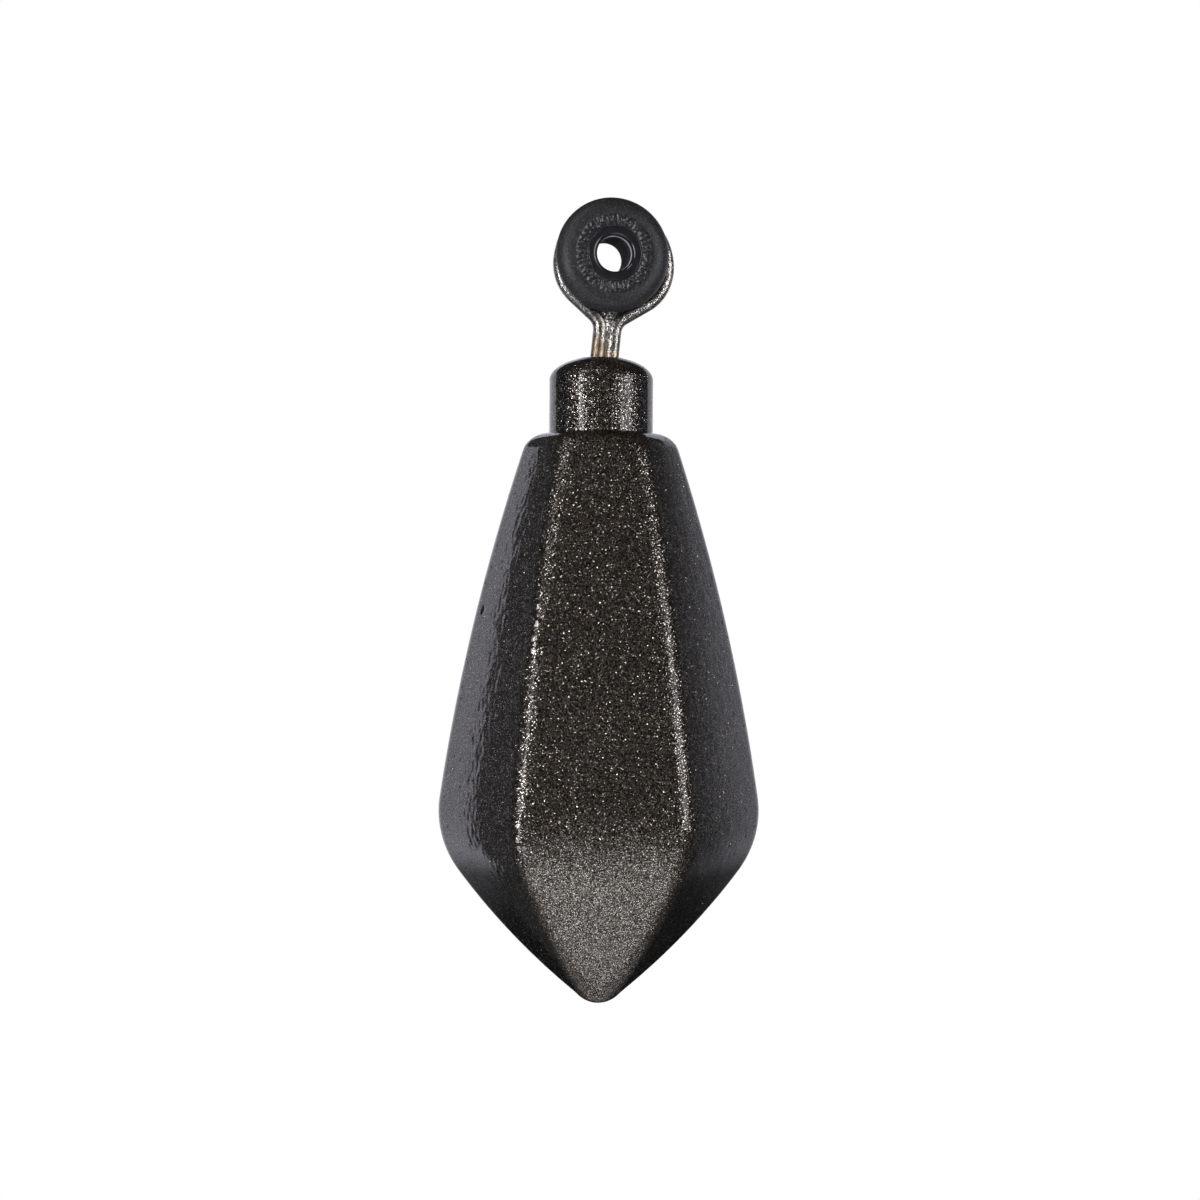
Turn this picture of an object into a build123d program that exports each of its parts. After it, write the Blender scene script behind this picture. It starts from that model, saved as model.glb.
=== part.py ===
from build123d import *
import math
import os

# Fishing sinker: a six-sided weight cast round the lower half of a barrel swivel. The swivel's wire eye
# holds a grooved bead, and the line runs through a hard bush in the bead. Millimetres, +Z up.
# Heights count up from the sharp point that the rounded tip is cut back from. At the end the whole part
# is lowered, so that the line eye is level with the origin and the swivel turns about the Z axis.

# Cast weight
shoulder_height = 36.18
waist_height = 11.08
shoulder_flats = 8.25
waist_flats = 18.26
side_bulge = 0.56
flank_bulge = 0.64
waist_radius = 6.9
tip_radius = 1.8
edge_radius = 1.5
shoulder_radius = 1.45
facet_pairs = 3

# Wire, the same in the eye and in the ring that is cast in
wire_radius = 0.46
leg_press = 0.04
leg_bend_radius = 1.2
loop_slope = 36
web_thickness = 0.7
web_height_share = 0.5
leg_spacing = 2 * wire_radius - leg_press
stem_radius = wire_radius + leg_spacing / 2

# Swivel barrel, with both ends spun in over the heads of the two wires
barrel_radius = 3.24
barrel_length = 9.4
barrel_showing = 4.8
barrel_wall = 0.6
barrel_dome = 1.5
stem_play = 0.35
barrel_hole_radius = stem_radius + stem_play

# Wire eye, which stands a little turned and leans in its loose hole
eye_radius = 3.4
eye_side_radius = 2.7
eye_reach = 7.86
eye_lean = 5.5
eye_turn = 9.3

# Ring that is cast into the weight
anchor_radius = 2.0
anchor_side_radius = 1.7
anchor_reach = 6.4

# Heads of both wires
head_lip = 0.6
head_gap = 0.05
head_radius = barrel_hole_radius + head_lip

# Grooved bead, with a wide flange in front and a smaller lip behind that was pushed through the eye
flange_radius = 3.56
lip_radius = 3.3
bead_length = 4.0
bead_land_radius = 2.44
bead_rim_width = 0.3
bead_groove_radius = 2.3
groove_flare = 14
groove_side_gap = 0.14
bead_gap = 0.04
bead_rest_angle = 34

# Line bush, pressed into the bead
bush_radius = 1.69
bore_radius = 1.1
mouth_radius = 0.3

# Cuts run past the face that they open by this much
overrun = 1.0


def facet_profile():
    """Side view of two opposite facets, with the waist and the tip rounded."""
    top = shoulder_flats / 2
    waist = waist_flats / 2
    outline = [
        Line((-top, shoulder_height), (top, shoulder_height)),
        SagittaArc((top, shoulder_height), (waist, waist_height), side_bulge),
        SagittaArc((waist, waist_height), (0, 0), flank_bulge),
        SagittaArc((0, 0), (-waist, waist_height), flank_bulge),
        SagittaArc((-waist, waist_height), (-top, shoulder_height), side_bulge),
    ]
    profile = make_face(outline)
    corners = profile.vertices().sort_by(Axis.Y)
    profile = fillet(corners[1:3], waist_radius)
    return fillet(profile.vertices().sort_by(Axis.Y)[0], tip_radius)


def weight_blank():
    """Three crossed slabs leave the six facets, then the long edges and the shoulder are rounded."""
    slab = extrude(Plane.YZ * facet_profile(), amount=waist_flats, both=True)
    blank = slab
    for pair in range(1, facet_pairs):
        blank = blank & (Rot(Z=pair * 180 / facet_pairs) * slab)
    long_edges = blank.edges().filter_by(GeomType.LINE, reverse=True)
    blank = fillet(long_edges, edge_radius)
    return fillet(blank.faces().sort_by(Axis.Z)[-1].edges(), shoulder_radius)


def spun_shape(radius, length, dome):
    """Solid barrel about the Z axis, centred on its middle, with both ends domed."""
    side = length / 2 - dome
    outline = [
        Line((0, -length / 2), (0, length / 2)),
        EllipticalCenterArc((0, side), radius, dome, start_angle=0, arc_size=90),
        Line((radius, side), (radius, -side)),
        EllipticalCenterArc((0, -side), radius, dome, start_angle=270, arc_size=90),
    ]
    return revolve(Plane.XZ * make_face(outline), Axis.Z)


def barrel_middle():
    return shoulder_height + barrel_showing - barrel_length / 2


def barrel_blank():
    return Pos(Z=barrel_middle()) * spun_shape(barrel_radius, barrel_length, barrel_dome)


def swivel_barrel():
    """Hollow spun barrel with a loose hole at each end for a wire's two legs."""
    inner_length = barrel_length - 2 * barrel_wall
    inside = spun_shape(barrel_radius - barrel_wall, inner_length, barrel_dome - barrel_wall)
    hole = Cylinder(barrel_hole_radius, barrel_length + overrun)
    return barrel_blank() - Pos(Z=barrel_middle()) * (inside + hole)


def head_offset():
    """Height of a head's centre from the barrel's middle, where it bears on the lip of its hole."""
    inner_radius = barrel_radius - barrel_wall
    lip_share = math.sqrt(1 - (barrel_hole_radius / inner_radius) ** 2)
    lip = barrel_length / 2 - barrel_dome + (barrel_dome - barrel_wall) * lip_share
    return lip - math.sqrt((head_radius + head_gap) ** 2 - barrel_hole_radius ** 2)


def wire_ring(radius, side_radius, reach):
    """One wire: a ring, two soldered legs and an upset head, with the head's centre at the origin."""
    slope = math.radians(loop_slope)
    turn = 90 - loop_slope
    crown = CenterArc((0, reach), radius, 90, 90)
    side = CenterArc((side_radius - radius, reach), side_radius, 180, turn)
    bend_width = leg_bend_radius * (1 - math.sin(slope))
    run = (-leg_spacing / 2 - bend_width - (side @ 1).X) / math.cos(slope)
    shoulder = PolarLine(side @ 1, run, -loop_slope)
    bend = JernArc(shoulder @ 1, shoulder % 1, leg_bend_radius, -turn)
    leg = Line(bend @ 1, (-leg_spacing / 2, 0))
    path = Plane.XZ * Wire([crown, side, shoulder, bend, leg])
    section = Plane(path @ 0, z_dir=path % 0) * Circle(wire_radius)
    half = sweep(section, path) + solder_web(shoulder, bend)
    return half + mirror(half, Plane.YZ) + Sphere(head_radius)


def solder_web(shoulder, bend):
    """Half of the solder that fills the crotch, where the two legs part."""
    top = shoulder @ (1 - web_height_share)
    foot = bend @ 1
    outline = [
        Line((0, top.Y), top),
        Line(top, bend @ 0),
        bend,
        Line(foot, (0, foot.Y)),
        Line((0, foot.Y), (0, top.Y)),
    ]
    return extrude(Plane.XZ * make_face(outline), amount=web_thickness / 2, both=True)


def eye_place():
    """Where the eye's head sits, and how the eye stands at rest."""
    return Pos(Z=barrel_middle() + head_offset()) * Rot(Z=eye_turn) * Rot(Y=eye_lean)


def eye_wire():
    return eye_place() * wire_ring(eye_radius, eye_side_radius, eye_reach)


def anchor_ring():
    """The lower ring hangs from the barrel's bottom end, upside down."""
    place = Pos(Z=barrel_middle() - head_offset()) * Rot(Y=180)
    return place * wire_ring(anchor_radius, anchor_side_radius, anchor_reach)


def sinker_body():
    """The weight is poured round the barrel and the lower ring, so it takes their shapes."""
    return weight_blank() - barrel_blank() - anchor_ring()


def bead_place():
    """The bead lies against the inside of the eye, off to one side of its top."""
    play = eye_radius - wire_radius - bead_groove_radius - bead_gap
    angle = math.radians(bead_rest_angle)
    return eye_place() * Pos(X=-play * math.sin(angle), Z=eye_reach + play * math.cos(angle))


def bead_half(rim_radius):
    """Half of the bead behind the wire, turned about its bore: hub, side of the groove and domed rim."""
    face = bead_length / 2
    groove = wire_radius + groove_side_gap
    flare = (rim_radius - bead_groove_radius) * math.tan(math.radians(groove_flare))
    back = groove + flare
    front = back + bead_rim_width
    outline = [
        Line((bush_radius, 0), (bush_radius, face)),
        Line((bush_radius, face), (bead_land_radius, face)),
        TangentArc((bead_land_radius, face), (rim_radius, front), tangent=(1, 0)),
        Line((rim_radius, front), (rim_radius, back)),
        Line((rim_radius, back), (bead_groove_radius, groove)),
        Line((bead_groove_radius, groove), (bead_groove_radius, 0)),
        Line((bead_groove_radius, 0), (bush_radius, 0)),
    ]
    return revolve(make_face(outline), Axis.Y)


def line_bead():
    return bead_place() * (bead_half(lip_radius) + mirror(bead_half(flange_radius), Plane.XZ))


def line_bush():
    """Hard tube with rounded mouths, flush with the bead's two faces."""
    tube = Cylinder(bush_radius, bead_length) - Cylinder(bore_radius, bead_length + overrun)
    mouths = tube.edges().filter_by(GeomType.CIRCLE).sort_by(SortBy.RADIUS)[:2]
    return bead_place() * Rot(X=90) * fillet(mouths, mouth_radius)


pieces = {
    "sinker_body": sinker_body,
    "swivel_barrel": swivel_barrel,
    "anchor_ring": anchor_ring,
    "eye_wire": eye_wire,
    "line_bead": line_bead,
    "line_bush": line_bush,
}

os.makedirs("parts", exist_ok=True)
line_eye = bead_place().position
print("line eye", line_eye.X, line_eye.Y, "turn", eye_turn)
print("eye head below the line eye", line_eye.Z - eye_place().position.Z)
for name, make in pieces.items():
    piece = Pos(Z=-line_eye.Z) * make()
    print(name, round(piece.volume, 2), piece.bounding_box())
    export_step(piece, f"parts/{name}.step")
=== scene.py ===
import math
import bpy
import numpy as np
from mathutils import Matrix, Vector, noise


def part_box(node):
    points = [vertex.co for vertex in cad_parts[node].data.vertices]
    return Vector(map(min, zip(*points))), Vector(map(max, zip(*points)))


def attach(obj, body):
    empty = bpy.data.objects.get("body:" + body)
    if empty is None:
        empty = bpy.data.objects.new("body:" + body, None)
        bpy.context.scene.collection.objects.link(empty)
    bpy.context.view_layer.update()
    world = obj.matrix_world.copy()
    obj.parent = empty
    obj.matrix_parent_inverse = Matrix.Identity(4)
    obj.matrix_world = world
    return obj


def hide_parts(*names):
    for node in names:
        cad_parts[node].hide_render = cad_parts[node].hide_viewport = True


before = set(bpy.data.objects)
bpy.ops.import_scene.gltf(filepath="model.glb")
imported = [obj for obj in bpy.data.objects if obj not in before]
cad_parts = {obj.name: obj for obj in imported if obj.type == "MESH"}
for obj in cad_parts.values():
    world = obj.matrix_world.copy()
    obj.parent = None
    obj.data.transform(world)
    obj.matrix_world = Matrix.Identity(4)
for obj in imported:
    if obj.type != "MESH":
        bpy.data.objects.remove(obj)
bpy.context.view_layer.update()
scene = bpy.context.scene
mm = 0.001
seedShift = (17.3, 5.1, 9.7)  # moves each seed's noise to a place of its own
pureWhite = (1, 1, 1, 1)
print("frame loaded:", sorted(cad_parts))


def outwardFaces(verts, faces):
    # turns all faces round where they enclose a negative volume
    points = np.asarray(verts)
    fans = np.array([(face[0], face[k], face[k + 1]) for face in faces for k in range(1, len(face) - 1)])
    volume = np.einsum("ij,ij->", points[fans[:, 0]], np.cross(points[fans[:, 1]], points[fans[:, 2]]))
    return faces if volume > 0 else [tuple(reversed(face)) for face in faces]


def plainMesh(name, verts, faces):
    mesh = bpy.data.meshes.new(name)
    mesh.from_pydata([tuple(vert) for vert in verts], [], outwardFaces(verts, faces))
    mesh.validate()
    mesh.update()
    mesh.shade_smooth()
    return mesh


def meshPiece(name, verts, faces, body, replaced):
    # verts in millimetres, in the part's frame
    mesh = plainMesh(name, np.asarray(verts) * mm, faces)
    piece = bpy.data.objects.new(name, mesh)
    scene.collection.objects.link(piece)
    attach(piece, body)
    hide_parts(replaced)
    print(name + ":", len(mesh.vertices), "vertices")
    return piece


def unitCircle(count):
    turns = np.linspace(0, 2 * math.pi, count, endpoint=False)
    return np.column_stack([np.cos(turns), np.sin(turns)])


def levelRing(outline, height):
    return np.column_stack([outline, np.full(len(outline), height)])


def loftFaces(ringCount, around, joinEnds=False):
    # quads between neighbouring rings, and from the last ring to the first where the ends are joined
    faces = []
    for ring in range(ringCount if joinEnds else ringCount - 1):
        low = ring * around
        high = ((ring + 1) % ringCount) * around
        for step in range(around):
            following = (step + 1) % around
            faces.append((low + step, low + following, high + following, high + step))
    return faces


def poleSkin(rings, firstPole, lastPole):
    # rings of points joined to one skin, which closes on a point at each end
    around = len(rings[0])
    lastRing = (len(rings) - 1) * around
    verts = np.concatenate(rings + [[firstPole, lastPole]])
    faces = loftFaces(len(rings), around)
    faces += [((step + 1) % around, step, len(verts) - 2) for step in range(around)]
    faces += [(lastRing + step, lastRing + (step + 1) % around, len(verts) - 1) for step in range(around)]
    return verts, faces


def spunSkin(outline, around):
    # closed outline of (radius, height) turned about the Z axis
    circle = unitCircle(around)
    rings = [levelRing(circle * radius, height) for radius, height in outline]
    return np.concatenate(rings), loftFaces(len(outline), around, True)


def vertexNormals(verts, faces):
    mesh = plainMesh("normalsOnly", verts, faces)
    normals = np.zeros(len(verts) * 3)
    mesh.vertices.foreach_get("normal", normals)
    bpy.data.meshes.remove(mesh)
    return normals.reshape(-1, 3)


def ripple(points, wave, seed):
    # smooth noise from -1 to 1 with the given wavelength in millimetres
    shift = Vector([seed * part for part in seedShift])
    return np.array([noise.noise(Vector(point) / wave + shift) for point in points])


def arcBetween(start, end, sagitta):
    # centre and radius of an arc that bulges to the right of its travel
    startPoint, endPoint = np.array(start, float), np.array(end, float)
    chord = np.linalg.norm(endPoint - startPoint)
    radius = (chord * chord / 4 + sagitta * sagitta) / (2 * sagitta)
    along = (endPoint - startPoint) / chord
    outward = np.array([along[1], -along[0]])
    return (startPoint + endPoint) / 2 - outward * (radius - sagitta), radius


def arcPoints(centre, radius, first, last, step):
    # points along the shorter arc, first and last given as points on it
    start = math.atan2(first[1] - centre[1], first[0] - centre[0])
    end = math.atan2(last[1] - centre[1], last[0] - centre[0])
    end = start + (end - start + math.pi) % (2 * math.pi) - math.pi
    count = max(2, int(abs(end - start) * radius / step) + 1)
    return [(centre[0] + radius * math.cos(turn), centre[1] + radius * math.sin(turn))
            for turn in np.linspace(start, end, count)]


def straightPoints(start, end, count):
    return [tuple(start + (end - start) * share) for share in np.linspace(0, 1, count)]


def roundedLoop(corners, step):
    # closed outline from corners (x, y, rounding), with its sides divided
    rounded = []
    for i, (x, y, radius) in enumerate(corners):
        here = np.array((x, y), float)
        if not radius:
            rounded.append(here)
            continue
        before = np.array(corners[i - 1][:2], float) - here
        after = np.array(corners[(i + 1) % len(corners)][:2], float) - here
        before /= np.linalg.norm(before)
        after /= np.linalg.norm(after)
        half = math.acos(before @ after) / 2
        cut = radius / math.tan(half)
        inward = (before + after) / np.linalg.norm(before + after)
        centre = here + inward * radius / math.sin(half)
        fine = min(step, radius / 4)  # small roundings get shorter steps
        arc = arcPoints(centre, radius, here + before * cut, here + after * cut, fine)
        rounded += [np.array(point) for point in arc]
    points = []
    for here, following in zip(rounded, rounded[1:] + rounded[:1]):
        pieces = max(1, int(np.linalg.norm(following - here) / step))
        points += [here + (following - here) * k / pieces for k in range(pieces)]
    return np.array(points)


weight = dict(
    shoulderHeight=36.18, waistHeight=11.08, shoulderFlats=8.25, waistFlats=18.26,
    sideBulge=0.56, flankBulge=0.64, waistRadius=6.9, tipRadius=1.8,
    edgeRadius=1.5, edgeShare=0.98, shoulderRadius=1.45, neckRadius=3.24, neckDome=1.5, buried=4.6,
    step=0.105, facetSteps=100, pocketAngles=(5, 85), pocketRings=9, neckRings=7, topRings=12,
    peelFine=0.0022, peelFineWave=0.28, peelStretch=0.65, peelCoarse=0.0022, peelCoarseWave=1.1,
    castWave=0.003, castWaveLength=6.0, seed=1, inset=0.003, pillow=0.0133,
    # drops of paint as (height, rise) on the edge, and pits as (share across the facet, height)
    edgeLumps=((25.3, 0.05), (24.3, 0.09), (23.4, 0.10), (22.7, 0.07),
               (12.4, 0.05), (11.6, 0.08), (11.1, 0.06)),
    lumpRadius=0.42, edgeAngle=240, pits=((0.65, 25.1),), pitDepth=0.06, pitRadius=0.17, pitFacing=-150,
)
facets = 6
halfFacet = math.pi / facets  # half of the turn from one facet to the next


def weightProfile():
    # half width across the flats against height, from the shoulder's flat top down to the tip
    top, waist = weight["shoulderFlats"] / 2, weight["waistFlats"] / 2
    shoulderHeight, waistHeight = weight["shoulderHeight"], weight["waistHeight"]
    shoulderRadius, waistRadius = weight["shoulderRadius"], weight["waistRadius"]
    tipRadius = weight["tipRadius"]
    flankCentre, flankRadius = arcBetween((0, 0), (waist, waistHeight), weight["flankBulge"])
    sideCentre, sideRadius = arcBetween((waist, waistHeight), (top, shoulderHeight), weight["sideBulge"])
    # shoulder rounding
    shoulderZ = shoulderHeight - shoulderRadius
    inShoulder = sideRadius - shoulderRadius
    shoulderX = sideCentre[0] + math.sqrt(inShoulder ** 2 - (shoulderZ - sideCentre[1]) ** 2)
    shoulderCentre = np.array([shoulderX, shoulderZ])
    sideStart = sideCentre + (shoulderCentre - sideCentre) / inShoulder * sideRadius
    # waist rounding, from the crossing of the two inset arcs
    inFlank, inSide = flankRadius - waistRadius, sideRadius - waistRadius
    gap = sideCentre - flankCentre
    span = np.linalg.norm(gap)
    along = (inFlank ** 2 - inSide ** 2 + span ** 2) / (2 * span)
    aside = math.sqrt(inFlank ** 2 - along ** 2)
    foot = flankCentre + gap / span * along
    turned = np.array([-gap[1], gap[0]]) / span
    waistCentre = max((foot + turned * aside, foot - turned * aside), key=lambda point: point[0])
    sideEnd = sideCentre + (waistCentre - sideCentre) / inSide * sideRadius
    flankStart = flankCentre + (waistCentre - flankCentre) / inFlank * flankRadius
    # tip rounding
    inTip = flankRadius - tipRadius
    tipCentre = np.array([0, flankCentre[1] - math.sqrt(inTip ** 2 - flankCentre[0] ** 2)])
    flankEnd = flankCentre + (tipCentre - flankCentre) / inTip * flankRadius
    tip = (0, tipCentre[1] - tipRadius)
    points = []
    for centre, radius, first, last in (
        (shoulderCentre, shoulderRadius, (shoulderX, shoulderHeight), sideStart),
        (sideCentre, sideRadius, sideStart, sideEnd),
        (waistCentre, waistRadius, sideEnd, flankStart),
        (flankCentre, flankRadius, flankStart, flankEnd),
        (tipCentre, tipRadius, flankEnd, tip),
    ):
        points += arcPoints(centre, radius, first, last, weight["step"])[:-1]
    return points, tip[1]


weightOutline, tipHeight = weightProfile()
# from heights above the sharp tip to the part's frame
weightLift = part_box("sinker_body")[1].z / mm - weight["shoulderHeight"]


def hexSection(halfFlats):
    # points evenly spread round a rounded hexagon with one flat facing -Y, and how far across its flat
    # each of them lies, from -1 to 1, where a corner counts as the flat's rim
    corner = min(weight["edgeRadius"], weight["edgeShare"] * halfFlats)
    half = (halfFlats - corner) * math.tan(halfFacet)
    hub = (halfFlats - corner) / math.cos(halfFacet)
    run = np.linspace(0, 2 * half + corner * 2 * math.pi / facets, weight["facetSteps"], endpoint=False)
    aside = np.minimum(run - half, half)
    turn = np.maximum(run - 2 * half, 0) / corner
    onFlat = run < 2 * half
    points = []
    for facet in range(facets):
        facing = facet * 2 * math.pi / facets - math.pi / 2
        faceX, faceY = math.cos(facing), math.sin(facing)
        hubX, hubY = hub * math.cos(facing + halfFacet), hub * math.sin(facing + halfFacet)
        points.append(np.column_stack([
            np.where(onFlat, faceX * halfFlats - faceY * aside, hubX + corner * np.cos(facing + turn)),
            np.where(onFlat, faceY * halfFlats + faceX * aside, hubY + corner * np.sin(facing + turn))]))
    return np.concatenate(points), np.tile(aside / half, facets)


def halfFlatsAt(height):
    return min(weightOutline, key=lambda point: abs(point[1] - height))[0]


def edgeSpot(height):
    # point on the front left edge at a height above the sharp tip
    hub = (halfFlatsAt(height) - weight["edgeRadius"]) / math.cos(halfFacet) + weight["edgeRadius"]
    angle = math.radians(weight["edgeAngle"])
    return np.array([hub * math.cos(angle), hub * math.sin(angle), height])


def facetSpot(share, height):
    # point on the left front facet, from -1 at its front edge to 1 at its back edge
    halfFlats = halfFlatsAt(height)
    facing = math.radians(weight["pitFacing"])
    along = -share * halfFlats * math.tan(halfFacet)
    return np.array([math.cos(facing) * halfFlats - math.sin(facing) * along,
                     math.sin(facing) * halfFlats + math.cos(facing) * along, height])


def nearness(points, spot, radius):
    # 1 at the spot, dying away round it
    return np.exp(-np.sum((points - spot) ** 2, axis=1) / radius ** 2)


def makeWeight():
    shoulder = weight["shoulderHeight"]
    first = hexSection(weightOutline[0][0])[0]
    around = len(first)
    angles = np.arctan2(first[:, 1], first[:, 0])
    circle = np.stack([np.cos(angles), np.sin(angles)], 1) * weight["neckRadius"]
    rings = []
    # pocket that the neck stands in
    floorHeight = shoulder - weight["buried"]
    for angle in np.linspace(*weight["pocketAngles"], weight["pocketRings"]):
        turn = math.radians(angle)
        height = floorHeight + weight["neckDome"] * (1 - math.cos(turn))
        rings.append(levelRing(circle * math.sin(turn), height))
    for height in np.linspace(floorHeight + weight["neckDome"], shoulder, weight["neckRings"]):
        rings.append(levelRing(circle, height))
    # flat top, from the neck's circle to the hexagon
    for share in np.linspace(0, 1, weight["topRings"])[1:-1]:
        rings.append(levelRing(circle * (1 - share) + first * share, shoulder))
    skinStart = len(rings) * around
    sink = []
    for halfFlats, height in weightOutline:
        section, across = hexSection(halfFlats)
        rings.append(levelRing(section, height))
        sink.append(weight["pillow"] * halfFlats * math.tan(halfFacet) / 2 * across ** 2)
    verts, faces = poleSkin(rings, (0, 0, floorHeight), (0, 0, tipHeight))
    normals = vertexNormals(verts, faces)
    # the facets' pillow shape and the unevenness of paint and casting, on the outer skin only
    skin = slice(skinStart, len(rings) * around)
    points = verts[skin].copy()
    stretched = points * (1, 1, weight["peelStretch"])
    push = -np.concatenate(sink)
    push += weight["peelFine"] * ripple(stretched, weight["peelFineWave"], weight["seed"])
    push += weight["peelCoarse"] * ripple(points, weight["peelCoarseWave"], weight["seed"] + 1)
    push += weight["castWave"] * ripple(points, weight["castWaveLength"], weight["seed"] + 2)
    push -= weight["inset"]
    for height, rise in weight["edgeLumps"]:
        push += rise * nearness(points, edgeSpot(height), weight["lumpRadius"])
    for share, height in weight["pits"]:
        push -= weight["pitDepth"] * nearness(points, facetSpot(share, height), weight["pitRadius"])
    verts[skin] += normals[skin] * push[:, None]
    verts[:, 2] += weightLift
    return meshPiece("castWeight", verts, faces, "sinker", "sinker_body")


castWeight = makeWeight()

unevenness = dict(fineWave=0.45, coarseWave=1.5)


def unevenSkin(verts, faces, fine, coarse, seed, inset=0):
    # pushes points in or out along their normals
    normals = vertexNormals(verts, faces)
    push = fine * ripple(verts, unevenness["fineWave"], seed)
    push = push + coarse * ripple(verts, unevenness["coarseWave"], seed + 1) - inset
    return verts + normals * push[:, None]


barrel = dict(
    radius=3.24, length=9.4, showing=4.8, wall=0.6, dome=1.5, holeRadius=1.25, lipRounding=0.14,
    around=220, step=0.11, outerSteps=26, innerSteps=18, peelFine=0.0012, peelCoarse=0.004, seed=11,
)


def domeCorners(radius, dome, count):
    # one end's elliptical dome, from the rounded lip of the hole out to the barrel's side
    side = barrel["length"] / 2 - barrel["dome"]
    spread = np.linspace(math.asin(barrel["holeRadius"] / radius), math.pi / 2, count)
    corners = [(reach, side + dome * math.sqrt(max(0, 1 - (reach / radius) ** 2)), 0)
               for reach in radius * np.sin(spread)]
    corners[0] = corners[0][:2] + (barrel["lipRounding"],)
    return corners


def makeBarrel():
    radius, dome, wall = barrel["radius"], barrel["dome"], barrel["wall"]
    outer = domeCorners(radius, dome, barrel["outerSteps"])
    inner = domeCorners(radius - wall, dome - wall, barrel["innerSteps"])
    top = list(reversed(inner)) + outer
    bottom = [(reach, -height, rounding) for reach, height, rounding in reversed(top)]
    verts, faces = spunSkin(roundedLoop(top + bottom, barrel["step"]), barrel["around"])
    verts = unevenSkin(verts, faces, barrel["peelFine"], barrel["peelCoarse"], barrel["seed"])
    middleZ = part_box("sinker_body")[1].z / mm + barrel["showing"] - barrel["length"] / 2
    return meshPiece("swivelBarrel", verts + (0, 0, middleZ), faces, "sinker", "swivel_barrel")


swivelBarrel = makeBarrel()

eye = dict(
    wireRadius=0.46, legPress=0.04, legBend=1.2, slope=36, crownRadius=3.4, sideRadius=2.7, reach=7.86,
    headRadius=1.85, webThickness=0.5, webShare=0.5, lean=5.5, turn=9.3,
    sides=40, step=0.09, shoulderSteps=16, legSteps=40, headRows=24, headAround=48,
    voxel=0.05, softenShare=0.5, softenPasses=8, peelFine=0.003, peelCoarse=0.009, seed=21,
)


def eyePath():
    # half of the wire in its own plane, from the crown down one leg to the head, and the solder's edge
    slope = math.radians(eye["slope"])
    outward = np.array([math.sin(slope), math.cos(slope)])
    crownRadius, sideRadius, bendRadius = eye["crownRadius"], eye["sideRadius"], eye["legBend"]
    legX = eye["legPress"] / 2 - eye["wireRadius"]
    sideStart = (-crownRadius, eye["reach"])
    sideCentre = np.array([sideRadius - crownRadius, eye["reach"]])
    sideEnd = sideCentre - sideRadius * outward
    bendStartX = legX - bendRadius * (1 - math.sin(slope))
    bendStart = np.array([bendStartX, sideEnd[1] - (bendStartX - sideEnd[0]) * math.tan(slope)])
    bendCentre = bendStart - bendRadius * outward
    bendEnd = bendCentre + np.array([bendRadius, 0])
    crown = arcPoints((0, eye["reach"]), crownRadius, (0, eye["reach"] + crownRadius), sideStart, eye["step"])
    side = arcPoints(sideCentre, sideRadius, sideStart, sideEnd, eye["step"])
    shoulder = straightPoints(sideEnd, bendStart, eye["shoulderSteps"])
    bend = arcPoints(bendCentre, bendRadius, bendStart, bendEnd, eye["step"])
    leg = straightPoints(bendEnd, np.array([legX, 0]), eye["legSteps"])
    webTop = sideEnd + (bendStart - sideEnd) * (1 - eye["webShare"])
    return crown[:-1] + side[:-1] + shoulder[:-1] + bend[:-1] + leg, [tuple(webTop)] + bend


def wireTube(path, radius, sides):
    # round wire along a path in the XZ plane, closed at both ends
    path = np.array(path)
    along = np.gradient(path, axis=0)
    along /= np.linalg.norm(along, axis=1)[:, None]
    cosines, sines = unitCircle(sides).T
    rings = []
    for (x, z), (alongX, alongZ) in zip(path, along):
        ring = [x - alongZ * radius * cosines, radius * sines, z + alongX * radius * cosines]
        rings.append(np.column_stack(ring))
    return poleSkin(rings, (path[0][0], 0, path[0][1]), (path[-1][0], 0, path[-1][1]))


def webPlate(edge, thickness):
    # flat plate of solder that fills the crotch of the legs
    outline = list(edge) + [(-x, z) for x, z in reversed(edge)]
    count = len(outline)
    verts = [(x, y, z) for y in (-thickness / 2, thickness / 2) for x, z in outline]
    faces = [tuple(range(count)), tuple(reversed(range(count, 2 * count)))]
    for i in range(count):
        following = (i + 1) % count
        faces.append((following, i, count + i, count + following))
    return np.array(verts), faces


def headBall(radius, rows, around):
    circle = unitCircle(around)
    turns = np.linspace(0, math.pi, rows + 2)[1:-1]
    rings = [levelRing(circle * (radius * math.sin(turn)), radius * math.cos(turn)) for turn in turns]
    return poleSkin(rings, (0, 0, radius), (0, 0, -radius))


def merged(shells):
    # one skin round several overlapping shells, smoothed where they meet
    verts, faces = [], []
    for shellVerts, shellFaces in shells:
        shift = sum(len(earlier) for earlier in verts)
        faces += [tuple(i + shift for i in face) for face in outwardFaces(shellVerts, shellFaces)]
        verts.append(shellVerts)
    mesh = bpy.data.meshes.new("shells")
    mesh.from_pydata([tuple(vert) for vert in np.concatenate(verts)], [], faces)
    mesh.update()
    block = bpy.data.objects.new("shells", mesh)
    scene.collection.objects.link(block)
    remesh = block.modifiers.new("skin", "REMESH")
    remesh.mode = "VOXEL"
    remesh.voxel_size = eye["voxel"]
    smooth = block.modifiers.new("soften", "SMOOTH")
    smooth.factor = eye["softenShare"]
    smooth.iterations = eye["softenPasses"]
    skin = block.evaluated_get(bpy.context.evaluated_depsgraph_get()).to_mesh()
    points = np.zeros(len(skin.vertices) * 3)
    skin.vertices.foreach_get("co", points)
    skinFaces = [tuple(polygon.vertices) for polygon in skin.polygons]
    bpy.data.objects.remove(block)
    bpy.data.meshes.remove(mesh)
    return points.reshape(-1, 3), skinFaces


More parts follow.
